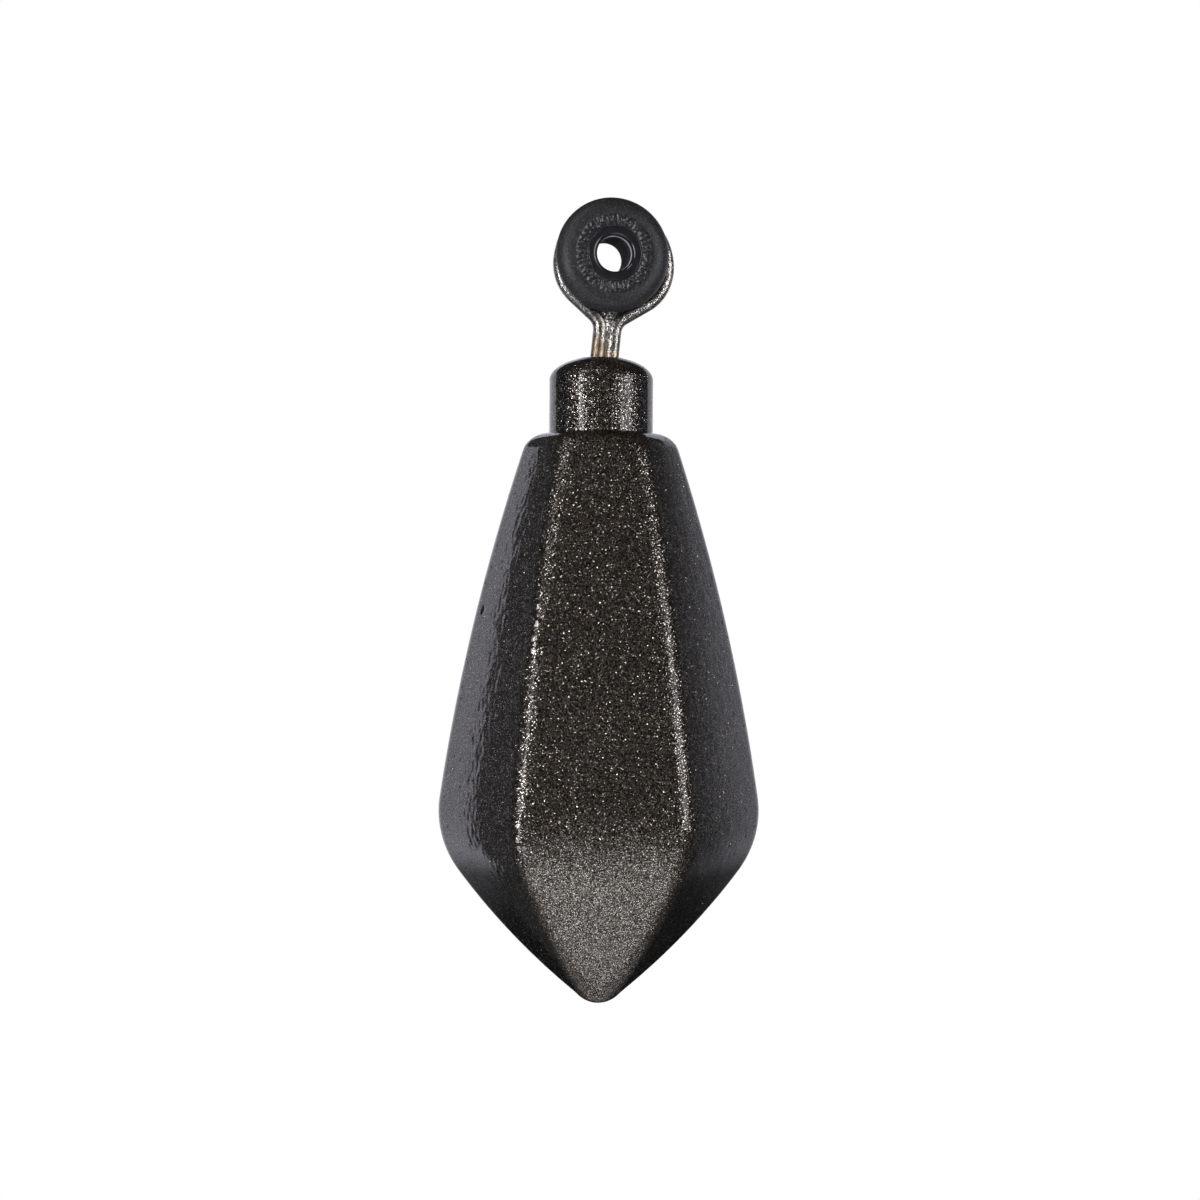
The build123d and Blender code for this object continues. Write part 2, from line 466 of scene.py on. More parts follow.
def eyePlace():
    # from the eye's own plane, with the head's centre at zero, to the part's frame
    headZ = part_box("eye_wire")[0].z / mm + eye["headRadius"]
    turned = Matrix.Rotation(math.radians(eye["turn"]), 4, "Z")
    leant = Matrix.Rotation(math.radians(eye["lean"]), 4, "Y")
    return np.array(Matrix.Translation((0, 0, headZ)) @ (turned @ leant))


def placed(verts, place):
    return np.asarray(verts) @ place[:3, :3].T + place[:3, 3]


def makeEye():
    half, webEdge = eyePath()
    path = list(reversed(half)) + [(-x, z) for x, z in half[1:]]
    shells = [
        wireTube(path, eye["wireRadius"], eye["sides"]),
        webPlate(webEdge, eye["webThickness"]),
        headBall(eye["headRadius"], eye["headRows"], eye["headAround"]),
    ]
    verts, faces = merged(shells)
    verts = unevenSkin(verts, faces, eye["peelFine"], eye["peelCoarse"], eye["seed"])
    return meshPiece("eyeWire", placed(verts, eyePlace()), faces, "eye", "eye_wire")


eyeWire = makeEye()

bead = dict(
    flangeRadius=3.56, lipRadius=3.3, length=4.0, landRadius=2.44, rimWidth=0.3, seatRadius=1.69,
    grooveRadius=2.3, grooveFlare=14, grooveGap=0.14, wireGap=0.04, restAngle=34,
    rimRounding=0.12, grooveRounding=0.1, seatRounding=0.07, around=480, step=0.05, domeStep=0.06,
    bandInner=1.74, bandOuter=2.46, bandDepth=0.12, bandFade=0.6, peel=0.004, seed=41,
    strokes=46, strokeDepth=0.07, strokeKeep=0.65, bumpDepth=0.06, bumpKeep=0.5, strokeSeed=31,
    # how the strokes wander, slant and break up, as (strength, wavelength)
    strokeNoise=dict(wander=(2.42, 0.9), shiver=(1.54, 0.35), slant=(3.6, 2.2),
                     gaps=(0.8, 0.5), bumps=(0.9, 0.2)),
)


def beadSide(rimRadius, direction):
    # outline of one side, from the groove's floor over the rim to the seat of the bush
    face = bead["length"] / 2
    groove = eye["wireRadius"] + bead["grooveGap"]
    back = groove + (rimRadius - bead["grooveRadius"]) * math.tan(math.radians(bead["grooveFlare"]))
    front = back + bead["rimWidth"]
    land = bead["landRadius"]
    across, drop = rimRadius - land, face - front
    domeRadius = (across ** 2 + drop ** 2) / (2 * drop)
    hub = (land, face - domeRadius)
    dome = arcPoints(hub, domeRadius, (rimRadius, front), (land, face), bead["domeStep"])
    corners = [(bead["grooveRadius"], groove, bead["grooveRounding"]), (rimRadius, back, bead["rimRounding"])]
    corners += [(radius, height, 0) for radius, height in dome]
    corners.append((bead["seatRadius"], face, bead["seatRounding"]))
    return [(radius, height * direction, rounding) for radius, height, rounding in corners]


def inBand(radius, height):
    # true in the ring round the bush that the strokes are pressed into, on both faces
    nearFace = np.abs(height) > bead["length"] / 2 - bead["bandDepth"]
    return (radius > bead["bandInner"]) & (radius < bead["bandOuter"]) & nearFace


def pressStrokes(verts):
    # short pressed strokes and bumps in the band
    radius = np.hypot(verts[:, 0], verts[:, 1])
    turn = np.arctan2(verts[:, 1], verts[:, 0])
    share = (radius - bead["bandInner"]) / (bead["bandOuter"] - bead["bandInner"])
    swell = np.sin(np.clip(share, 0, 1) * math.pi)
    fade = np.where(inBand(radius, verts[:, 2]), swell, 0) ** bead["bandFade"]
    noises = {}
    for seed, (kind, (strength, wave)) in enumerate(bead["strokeNoise"].items(), bead["strokeSeed"]):
        noises[kind] = strength * ripple(verts, wave, seed)
    wander = noises["wander"] + noises["shiver"] + (share - 0.5) * noises["slant"]
    stroke = 0.5 - 0.5 * np.cos(turn * bead["strokes"] + wander)
    whole = np.clip(bead["strokeKeep"] + noises["gaps"], 0, 1)
    bumps = np.clip(bead["bumpKeep"] + noises["bumps"], 0, 1)
    pressed = bead["strokeDepth"] * stroke * whole + bead["bumpDepth"] * bumps
    verts[:, 2] -= np.sign(verts[:, 2]) * fade * pressed
    return verts


def beadPlace():
    # the bead's own Z axis becomes the eye's Y axis
    play = eye["crownRadius"] - eye["wireRadius"] - bead["grooveRadius"] - bead["wireGap"]
    angle = math.radians(bead["restAngle"])
    shift = Matrix.Translation((-play * math.sin(angle), 0, eye["reach"] + play * math.cos(angle)))
    return eyePlace() @ np.array(shift @ Matrix.Rotation(math.radians(-90), 4, "X"))


def makeBead():
    corners = beadSide(bead["flangeRadius"], -1) + list(reversed(beadSide(bead["lipRadius"], 1)))
    outline = roundedLoop(corners, bead["step"])
    verts, faces = spunSkin(outline, bead["around"])
    verts = pressStrokes(verts)
    verts = unevenSkin(verts, faces, 0, bead["peel"], bead["seed"], bead["peel"] / 2)
    piece = meshPiece("lineBead", placed(verts, beadPlace()), faces, "bead", "line_bead")
    return piece, inBand(outline[:, 0], outline[:, 1])


lineBead, bandRings = makeBead()

bush = dict(
    boreRadius=1.1, boreMargin=0.02, mouthRadius=0.3, edgeRadius=0.07, brightDepth=0.7, around=200, step=0.08,
)


def makeBush():
    face = bead["length"] / 2
    bore, mouth, edge = bush["boreRadius"], bush["mouthRadius"], bush["edgeRadius"]
    corners = [(bead["seatRadius"], -face, edge), (bead["seatRadius"], face, edge),
               (bore, face, mouth), (bore, -face, mouth)]
    outline = roundedLoop(corners, bush["step"])
    verts, faces = spunSkin(outline, bush["around"])
    # rings of faces that line the bore, behind the stretch that the line keeps bright
    radius, height = outline.T
    inBore = (height > bush["brightDepth"] - face) & (height < face - mouth)
    inBore &= radius < bore + bush["boreMargin"]
    return meshPiece("lineBush", placed(verts, beadPlace()), faces, "bead", "line_bush"), inBore


lineBush, boreRings = makeBush()


def addNode(tree, kind, place, **settings):
    node = tree.nodes.new(kind)
    node.location = place
    for key, value in settings.items():
        setattr(node, key, value)
    return node


def feed(tree, node, sources):
    # another node's output is linked to the named socket, any other value is set on it
    for name, value in sources.items():
        if isinstance(value, bpy.types.NodeSocket):
            tree.links.new(value, node.inputs[name])
        else:
            node.inputs[name].default_value = value


def emptyMaterial(name):
    material = bpy.data.materials.new(name)
    material.use_nodes = True
    material.node_tree.nodes.clear()
    return material, material.node_tree


def newMaterial(name):
    material, tree = emptyMaterial(name)
    shader = addNode(tree, "ShaderNodeBsdfPrincipled", (600, 0))
    feed(tree, addNode(tree, "ShaderNodeOutputMaterial", (900, 0)), {"Surface": shader.outputs["BSDF"]})
    return material, tree, shader


def newGroup(name, inputs, outputs):
    # inputs are numbers with their usual values, outputs come with their kinds
    group = bpy.data.node_groups.new(name, "ShaderNodeTree")
    for socketName, value in inputs.items():
        socket = group.interface.new_socket(socketName, in_out="INPUT", socket_type="NodeSocketFloat")
        socket.default_value = value
    for socketName, kind in outputs.items():
        group.interface.new_socket(socketName, in_out="OUTPUT", socket_type="NodeSocket" + kind)
    return group, addNode(group, "NodeGroupInput", (-900, 0)), addNode(group, "NodeGroupOutput", (900, 0))


def useGroup(tree, group, place, **values):
    node = addNode(tree, "ShaderNodeGroup", place, node_tree=group)
    feed(tree, node, values)
    return node


def mathNode(tree, operation, place, *values):
    # a number is set on its socket, another node's output is linked
    node = addNode(tree, "ShaderNodeMath", place, operation=operation)
    for socket, value in zip(node.inputs, values):
        if isinstance(value, (int, float)):
            socket.default_value = value
        else:
            tree.links.new(value, socket)
    return node.outputs[0]


def mapRange(tree, place, value, toLow=0.0, toHigh=1.0, fromLow=0.0, fromHigh=1.0, smooth=False):
    node = addNode(tree, "ShaderNodeMapRange", place)
    if smooth:
        node.interpolation_type = "SMOOTHSTEP"
    feed(tree, node, {"Value": value, "From Min": fromLow, "From Max": fromHigh,
                      "To Min": toLow, "To Max": toHigh})
    return node.outputs["Result"]


def mixColours(tree, place, factor, first, second):
    node = addNode(tree, "ShaderNodeMix", place, data_type="RGBA")
    for name, value in (("A", first), ("B", second)):
        socket = next(entry for entry in node.inputs if entry.name == name and entry.type == "RGBA")
        if isinstance(value, tuple):
            socket.default_value = value
        else:
            tree.links.new(value, socket)
    tree.links.new(factor, node.inputs["Factor"])
    return next(entry for entry in node.outputs if entry.type == "RGBA")


def objectSpot(tree, place):
    # where a point lies along the object's own X, Y and Z
    coords = addNode(tree, "ShaderNodeTexCoord", place)
    split = addNode(tree, "ShaderNodeSeparateXYZ", (place[0] + 200, place[1]))
    tree.links.new(coords.outputs["Object"], split.inputs[0])
    return split.outputs


flakeShape = dict(uprightPower=3.0, middleColour=(0.5, 0.5, 0.5))


def metalFlakeGroup():
    # flat flakes scattered in the paint, each lying at its own small tilt
    group, given, result = newGroup("metalFlake", dict(Size=0.13, Cover=0.6, Tilt=0.6, Stray=0.0, Reach=0.55),
                                    dict(Mask="Float", Tone="Float", Depth="Float", Normal="Vector"))
    coords = addNode(group, "ShaderNodeTexCoord", (-900, 300))
    perMetre = mathNode(group, "DIVIDE", (-900, 120), 1 / mm, given.outputs["Size"])
    cells = addNode(group, "ShaderNodeTexVoronoi", (-600, 200), voronoi_dimensions="3D", feature="F1")
    feed(group, cells, {"Vector": coords.outputs["Object"], "Scale": perMetre})
    split = addNode(group, "ShaderNodeSeparateColor", (-350, 300))
    feed(group, split, {"Color": cells.outputs["Color"]})
    chosen = mathNode(group, "LESS_THAN", (-150, 300), split.outputs["Red"], given.outputs["Cover"])
    inside = mathNode(group, "LESS_THAN", (-150, 120), cells.outputs["Distance"], given.outputs["Reach"])
    mask = mathNode(group, "MULTIPLY", (50, 240), chosen, inside)
    # tilt from a second random colour, because the first one picks the flakes
    second = addNode(group, "ShaderNodeTexWhiteNoise", (-350, -100), noise_dimensions="3D")
    feed(group, second, {"Vector": cells.outputs["Color"]})
    centred = addNode(group, "ShaderNodeVectorMath", (-150, -100), operation="SUBTRACT")
    group.links.new(second.outputs["Color"], centred.inputs[0])
    centred.inputs[1].default_value = flakeShape["middleColour"]
    # most flakes lie flat, a few stand up
    upright = mathNode(group, "POWER", (-500, -400), split.outputs["Blue"], flakeShape["uprightPower"])
    upright = mathNode(group, "MULTIPLY_ADD", (-350, -400), upright, given.outputs["Stray"], 1.0)
    amount = mathNode(group, "MULTIPLY", (-150, -300), given.outputs["Tilt"], mask)
    amount = mathNode(group, "MULTIPLY", (-50, -400), amount, upright)
    tilted = addNode(group, "ShaderNodeVectorMath", (50, -100), operation="SCALE")
    group.links.new(centred.outputs[0], tilted.inputs[0])
    group.links.new(amount, tilted.inputs["Scale"])
    surface = addNode(group, "ShaderNodeNewGeometry", (50, -350))
    summed = addNode(group, "ShaderNodeVectorMath", (300, -150), operation="ADD")
    group.links.new(surface.outputs["Normal"], summed.inputs[0])
    group.links.new(tilted.outputs[0], summed.inputs[1])
    unit = addNode(group, "ShaderNodeVectorMath", (500, -150), operation="NORMALIZE")
    group.links.new(summed.outputs[0], unit.inputs[0])
    feed(group, result, {"Mask": mask, "Tone": split.outputs["Green"], "Depth": split.outputs["Blue"],
                         "Normal": unit.outputs[0]})
    return group


cloudRange = dict(low=0.3, high=0.7)  # the noise seldom goes past these


def cloudGroup():
    # soft mottling from 0 to 1, with its size in millimetres
    group, given, result = newGroup("cloud", dict(Size=1.0, Detail=3.0), dict(Value="Float"))
    coords = addNode(group, "ShaderNodeTexCoord", (-600, 200))
    perMetre = mathNode(group, "DIVIDE", (-600, 0), 1 / mm, given.outputs["Size"])
    clouds = addNode(group, "ShaderNodeTexNoise", (-300, 100))
    feed(group, clouds, {"Vector": coords.outputs["Object"], "Scale": perMetre,
                         "Detail": given.outputs["Detail"]})
    low, high = cloudRange["low"], cloudRange["high"]
    spread = mapRange(group, (0, 100), clouds.outputs["Fac"], fromLow=low, fromHigh=high)
    feed(group, result, {"Value": spread})
    return group


metalFlake = metalFlakeGroup()
cloud = cloudGroup()

paint = dict(
    # the two pale binder tones paint light: a paler brown on the front facets and a darker grey, painted
    # shade, on the side facets
    binderDark=(0.001, 0.0008, 0.0006, 1), binderPaintedLitFront=(0.085, 0.060, 0.039, 1),
    binderPaintedShadeSides=(0.022, 0.0215, 0.021, 1), binderRough=0.5, depthPower=3.0,
    flakeDark=(0.02, 0.0187, 0.018, 1), flakeBright=(0.78, 0.72, 0.675, 1), flakeSpread=2.1,
    flakeSize=0.051, flakeCover=0.70, flakeTilt=0.42, flakeStray=1.6, flakeRough=0.27,
    specular=0.25, edgeTint=0.0, drySide=-0.2, glossSide=0.9, sideBlend=1.0,
    coatDry=0.0, coatWet=1.0, coatLeft=1.0, coatRight=0.72, coatRough=0.03,
    speckSize=0.36, speckCover=0.13, speckReach=0.24,
    # bright metal on the edge's drops, partly chips of worn paint and partly a painted highlight for the
    # edge's glints
    chipGlint=(0.62, 0.60, 0.57, 1), chipGlintRadius=0.17, chipGlintLeast=0.4, chipGlintGrowth=6, chipGlintRagged=0.16,
)


def flakedPaint(tree, shader, look):
    # dark binder full of metal flakes, under lacquer that is dry and grainy in front and glossy elsewhere;
    # the binder's pale tone is painted light, a paler brown on the front facets and a darker grey on the side
    # facets
    flakes = useGroup(tree, metalFlake, (-500, 0), Size=look["flakeSize"], Cover=look["flakeCover"],
                      Tilt=look["flakeTilt"], Stray=look["flakeStray"]).outputs
    depth = mathNode(tree, "POWER", (-350, 300), flakes["Depth"], look["depthPower"])
    tone = mathNode(tree, "POWER", (-350, 100), flakes["Tone"], look["flakeSpread"])
    flake = mixColours(tree, (-250, 100), tone, look["flakeDark"], look["flakeBright"])
    rough = mapRange(tree, (0, -100), flakes["Mask"], look["binderRough"], look["flakeRough"])
    # how far a point lies to the side of the upright plane through the middle and the nearer front edge
    spot = objectSpot(tree, (-900, -900))
    sideward = mathNode(tree, "ABSOLUTE", (-600, -800), spot["X"])
    backward = mathNode(tree, "MULTIPLY", (-600, -950), spot["Y"], math.sin(halfFacet))
    across = mathNode(tree, "MULTIPLY_ADD", (-450, -900), sideward, math.cos(halfFacet), backward)
    # 0 on the front facets and 1 on the side facets: the lacquer's gloss share, and the share of painted
    # shade in the binder's pale tone
    glossAndPaintedShade = mapRange(tree, (-300, -900), across, fromLow=look["drySide"] * mm,
                     fromHigh=look["glossSide"] * mm)
    # painted light: the binder's pale tone is a paler brown on the front facets, as if lit, and a darker grey
    # on the side facets, a painted shade
    pale = mixColours(tree, (-250, 450), glossAndPaintedShade, look["binderPaintedLitFront"], look["binderPaintedShadeSides"])
    binder = mixColours(tree, (-100, 300), depth, look["binderDark"], pale)
    colour = mixColours(tree, (0, 200), flakes["Mask"], binder, flake)
    # lacquer that is patchy where it is dry, and thinner on the right
    blend = look["sideBlend"] * mm
    level = mapRange(tree, (-300, -1150), spot["X"], look["coatLeft"], look["coatRight"], -blend, blend)
    patchy = mapRange(tree, (-300, -700), depth, look["coatDry"], look["coatWet"])
    coat = addNode(tree, "ShaderNodeMix", (-100, -900), data_type="FLOAT")
    feed(tree, coat, {"Factor": glossAndPaintedShade, "A": patchy, "B": level})
    # pinholes in the lacquer
    specks = useGroup(tree, metalFlake, (-300, -1400), Size=look["speckSize"], Cover=look["speckCover"],
                      Reach=look["speckReach"])
    whole = mathNode(tree, "SUBTRACT", (-100, -1300), 1.0, specks.outputs["Mask"])
    pierced = mathNode(tree, "MULTIPLY", (100, -1000), coat.outputs["Result"], whole)
    tint = (look["edgeTint"],) * 3 + (1,)
    feed(tree, shader, {"Coat Weight": pierced, "Coat Roughness": look["coatRough"], "Roughness": rough,
                        "Specular IOR Level": look["specular"], "Specular Tint": tint,
                        "Normal": flakes["Normal"]})
    return colour, flakes["Mask"]


def edgeChipGlints(tree, look):
    # small bright patches of bare metal on the drops of the front left edge: chips of worn paint that also
    # stand in for the edge's glints, partly a painted highlight
    coords = addNode(tree, "ShaderNodeTexCoord", (-900, 900))
    ragged = useGroup(tree, cloud, (-900, 700), Size=look["chipGlintRagged"])
    share = None
    for height, rise in weight["edgeLumps"]:
        away = addNode(tree, "ShaderNodeVectorMath", (-600, 900), operation="DISTANCE")
        tree.links.new(coords.outputs["Object"], away.inputs[0])
        away.inputs[1].default_value = Vector(edgeSpot(height) + (0, 0, weightLift)) * mm
        size = look["chipGlintRadius"] * mm * (look["chipGlintLeast"] + look["chipGlintGrowth"] * rise)
        reach = mathNode(tree, "MULTIPLY", (-500, 700), ragged.outputs["Value"], size * 2)
        near = mathNode(tree, "LESS_THAN", (-400, 900), away.outputs["Value"], reach)
        share = near if share is None else mathNode(tree, "MAXIMUM", (-200, 900), share, near)
    return share


def flakePaintMaterial():
    material, tree, shader = newMaterial("flakePaint")
    colour, metal = flakedPaint(tree, shader, paint)
    chipGlints = edgeChipGlints(tree, paint)
    # the bright chip metal, partly a painted highlight on the edge's drops
    feed(tree, shader, {"Base Color": mixColours(tree, (250, 300), chipGlints, colour, paint["chipGlint"]),
                        "Metallic": mathNode(tree, "MAXIMUM", (250, 0), metal, chipGlints)})
    return material


flakePaint = flakePaintMaterial()

wirePaint = dict(
    paint, flakeDark=(0.38, 0.356, 0.337, 1), flakeBright=(0.95, 0.91, 0.87, 1), flakeSpread=1.0,
    flakeSize=0.045, flakeCover=0.94, flakeTilt=0.38, flakeStray=0.9, flakeRough=0.3,
    edgeTint=0.4, coatRough=0.14, brass=(0.58, 0.47, 0.34, 1), brassDark=(0.26, 0.20, 0.13, 1), stainSize=0.8,
    bareLeft=-4.9, bareRight=-5.8, bareFade=0.35, legLeft=-0.1, legRight=0.3,
    raggedSize=0.4, raggedHeight=0.6,
)


def wirePaintMaterial():
    # the same paint, rubbed down to brass where the stem turns in the barrel
    look = wirePaint
    material, tree, shader = newMaterial("wirePaint")
    colour, metal = flakedPaint(tree, shader, look)
    spot = objectSpot(tree, (-900, -300))
    limit = mapRange(tree, (-500, -300), spot["X"], look["bareLeft"] * mm, look["bareRight"] * mm,
                     look["legLeft"] * mm, look["legRight"] * mm)
    ragged = useGroup(tree, cloud, (-500, -600), Size=look["raggedSize"])
    teeth = mathNode(tree, "MULTIPLY", (-300, -600), ragged.outputs["Value"], look["raggedHeight"] * mm)
    below = mathNode(tree, "SUBTRACT", (-300, -300), limit, spot["Z"])
    below = mathNode(tree, "SUBTRACT", (-150, -400), below, teeth)
    bare = mapRange(tree, (0, -400), below, fromLow=-look["bareFade"] * mm, fromHigh=0.0)
    stain = useGroup(tree, cloud, (-300, 600), Size=look["stainSize"])
    brass = mixColours(tree, (-100, 600), stain.outputs["Value"], look["brass"], look["brassDark"])
    feed(tree, shader, {"Base Color": mixColours(tree, (250, 300), bare, colour, brass),
                        "Metallic": mathNode(tree, "MAXIMUM", (250, 0), metal, bare)})
    return material


wirePaintLook = wirePaintMaterial()


def mottled(tree, shader, size, first, second, roughness):
    # colour between two tones, and roughness between two limits, by the same soft mottling
    tone = useGroup(tree, cloud, (-500, 200), Size=size).outputs["Value"]
    feed(tree, shader, {"Roughness": mapRange(tree, (0, 0), tone, *roughness)})
    return mixColours(tree, (-50, 200), tone, first, second)


rubber = dict(
    base=(0.015, 0.015, 0.018, 1), worn=(0.023, 0.023, 0.027, 1), wearSize=1.4,
    dust=(0.085, 0.083, 0.092, 1), dustPower=4.0, grain=0.45, grainSize=0.1, grainDetail=2.0, grainDepth=0.02,
    rough=(0.42, 0.52), specular=0.36, roughPressed=(0.12, 0.24), specularPressed=0.5,
)


def beadRubberMaterial(name, roughness, specular):
    material, tree, shader = newMaterial(name)
    worn = mottled(tree, shader, rubber["wearSize"], rubber["base"], rubber["worn"], roughness)
    grain = useGroup(tree, cloud, (-500, -200), Size=rubber["grainSize"], Detail=rubber["grainDetail"])
    dusty = mathNode(tree, "POWER", (-250, -50), grain.outputs["Value"], rubber["dustPower"])
    colour = mixColours(tree, (150, 200), dusty, worn, rubber["dust"])
    bump = addNode(tree, "ShaderNodeBump", (300, -200))
    feed(tree, bump, {"Strength": rubber["grain"], "Distance": rubber["grainDepth"] * mm,
                      "Height": grain.outputs["Value"]})
    feed(tree, shader, {"Base Color": colour, "Specular IOR Level": specular,
                        "Normal": bump.outputs["Normal"]})
    return material


beadRubber = beadRubberMaterial("beadRubber", rubber["rough"], rubber["specular"])
beadPressed = beadRubberMaterial("beadPressed", rubber["roughPressed"], rubber["specularPressed"])

ceramic = dict(
    base=(0.014, 0.014, 0.017, 1), hazy=(0.021, 0.021, 0.025, 1), hazeSize=0.7,
    rough=(0.08, 0.22), specular=0.5, roughBore=(0.75, 0.85), specularBore=0.15,
)


def bushCeramicMaterial(name, roughness, specular):
    material, tree, shader = newMaterial(name)
    colour = mottled(tree, shader, ceramic["hazeSize"], ceramic["base"], ceramic["hazy"], roughness)
    feed(tree, shader, {"Base Color": colour, "Specular IOR Level": specular})
    return material


bushMouth = bushCeramicMaterial("bushMouth", ceramic["rough"], ceramic["specular"])
bushBore = bushCeramicMaterial("bushBore", ceramic["roughBore"], ceramic["specularBore"])

brassMetal = dict(bright=(0.72, 0.50, 0.24, 1), dull=(0.42, 0.29, 0.14, 1), stainSize=0.9, rough=(0.28, 0.45))


def brassWireMaterial():
    look = brassMetal
    material, tree, shader = newMaterial("brassWire")
    colour = mottled(tree, shader, look["stainSize"], look["bright"], look["dull"], look["rough"])
    feed(tree, shader, {"Base Color": colour, "Metallic": 1.0})
    return material


brassWire = brassWireMaterial()


def dress(piece, *looks):
    piece.data.materials.clear()
    for look in looks:
        piece.data.materials.append(look)


def useSecondLook(piece, around, marked):
    # on those of the piece's rings of faces that are marked
    for polygon in piece.data.polygons:
        polygon.material_index = int(marked[polygon.index // around])


dress(castWeight, flakePaint)
dress(swivelBarrel, flakePaint)
dress(eyeWire, wirePaintLook)
dress(lineBead, beadRubber, beadPressed)
dress(lineBush, bushMouth, bushBore)
dress(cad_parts["anchor_ring"], brassWire)
useSecondLook(lineBead, bead["around"], bandRings)
useSecondLook(lineBush, bush["around"], boreRings)
print("materials made")

# lengths in metres, apart from the middle's height in millimetres
studio = dict(
    middleHeight=-21.43, worldDim=0.041,
    paperPale=(0.8, 0.8, 0.8, 1), paperTint=(0.96, 0.95, 1.06, 1),
    paperFadeStart=0.308, paperFadeEnd=0.437, paperBend=4.3, paperMiddle=-0.03,
    paperLow=-0.12, paperHigh=0.01, paperDip=0.56, paperDipLean=-0.07,
    rimLeft=-0.4285, rimMiddle=-0.048, rimBendLow=5.0, rimBendHigh=2.4, rimFade=0.012, rimSteps=13,
    backdropLow=-0.22, backdropHigh=0.14, backdropRight=0.45, backdropBehind=0.25,
    floorCorners=((-0.13, -0.2), (0.13, -0.2), (0.13, 0.03), (-0.13, 0.03)), floorHeight=-0.135,
)
middle = Vector((0, 0, studio["middleHeight"] * mm))


def mixedOutput(tree, kind, factor, first, second):
    # the first shader where the factor is 0, the second where it is 1
    mixed = addNode(tree, "ShaderNodeMixShader", (100, 0))
    output = addNode(tree, kind, (300, 0))
    for source, socket in zip((factor, first.outputs[0], second.outputs[0]), mixed.inputs):
        tree.links.new(source, socket)
    feed(tree, output, {"Surface": mixed.outputs[0]})


def stagePaper():
    # white to the camera, fading to the right, at its foot and at its rim in reflections,
    # and plain pale paper to other light
    material, tree = emptyMaterial("paper")
    ray = addNode(tree, "ShaderNodeLightPath", (-900, 200)).outputs
    seen = mathNode(tree, "MAXIMUM", (-400, 300), ray["Is Camera Ray"], ray["Is Glossy Ray"])
    seen = mathNode(tree, "MAXIMUM", (-200, 300), seen, ray["Is Transmission Ray"])
    spot = objectSpot(tree, (-900, -200))
    # bent like the streak that the right facet mirrors
    rise = mathNode(tree, "SUBTRACT", (-900, -350), spot["Z"], studio["paperMiddle"])
    bent = mathNode(tree, "MULTIPLY", (-850, -400), rise, rise)
    bent = mathNode(tree, "MULTIPLY", (-750, -350), bent, studio["paperBend"])
    bent = mathNode(tree, "ADD", (-600, -300), bent, spot["X"])
    fading = mapRange(tree, (-500, -200), bent, fromLow=studio["paperFadeEnd"],
                      fromHigh=studio["paperFadeStart"], smooth=True)
    # the lower end dips towards both sides, more on the left
    sideward = mathNode(tree, "ABSOLUTE", (-800, -450), spot["X"])
    dipped = mathNode(tree, "MULTIPLY_ADD", (-700, -450), sideward, studio["paperDip"], spot["Z"])
    dipped = mathNode(tree, "MULTIPLY_ADD", (-600, -450), spot["X"], studio["paperDipLean"], dipped)
    lowering = mapRange(tree, (-500, -450), dipped, fromLow=studio["paperLow"],
                        fromHigh=studio["paperHigh"], smooth=True)
    level = mathNode(tree, "MULTIPLY", (-350, -300), fading, lowering)
    inward = addNode(tree, "ShaderNodeAttribute", (-500, -650), attribute_name="inward")
    level = mathNode(tree, "MULTIPLY", (-250, -350), level, inward.outputs["Fac"])
    strength = mathNode(tree, "MAXIMUM", (-200, -200), ray["Is Camera Ray"], level)
    tint = mixColours(tree, (-300, 0), ray["Is Camera Ray"], studio["paperTint"], pureWhite)
    bright = addNode(tree, "ShaderNodeEmission", (-100, -150))
    feed(tree, bright, {"Color": tint, "Strength": strength})
    pale = addNode(tree, "ShaderNodeBsdfDiffuse", (-200, 100))
    feed(tree, pale, {"Color": studio["paperPale"]})
    mixedOutput(tree, "ShaderNodeOutputMaterial", seen, pale, bright)
    return material


paper = stagePaper()


def stageSheet(name, corners, faces, inward):
    # inward is 1 where the sheet is bright in reflections and 0 at a faded rim
    mesh = bpy.data.meshes.new(name)
    mesh.from_pydata(corners, [], faces)
    mesh.attributes.new("inward", "FLOAT", "POINT").data.foreach_set("value", inward)
    sheet = bpy.data.objects.new(name, mesh)
    scene.collection.objects.link(sheet)
    mesh.materials.append(paper)


def makeBackdrop():
    # the left rim is bent like the streak that the left facet mirrors, and fades across its width
    behind = studio["backdropBehind"]
    outer, inner, right = [], [], []
    for z in np.linspace(studio["backdropLow"], studio["backdropHigh"], studio["rimSteps"]):
        bend = studio["rimBendLow"] if z < studio["rimMiddle"] else studio["rimBendHigh"]
        x = studio["rimLeft"] + bend * (z - studio["rimMiddle"]) ** 2
        outer.append((x - studio["rimFade"] / 2, behind, z))
        inner.append((x + studio["rimFade"] / 2, behind, z))
        right.append((studio["backdropRight"], behind, z))
    count = len(outer)
    faces = [(row + i, row + i + 1, row + count + i + 1, row + count + i)
             for row in (0, count) for i in range(count - 1)]
    stageSheet("backdrop", outer + inner + right, faces, [0.0] * count + [1.0] * 2 * count)


def makeFloor():
    corners = [(x, y, studio["floorHeight"]) for x, y in studio["floorCorners"]]
    stageSheet("floor", corners, [range(len(corners))], [1.0] * len(corners))


makeBackdrop()
makeFloor()

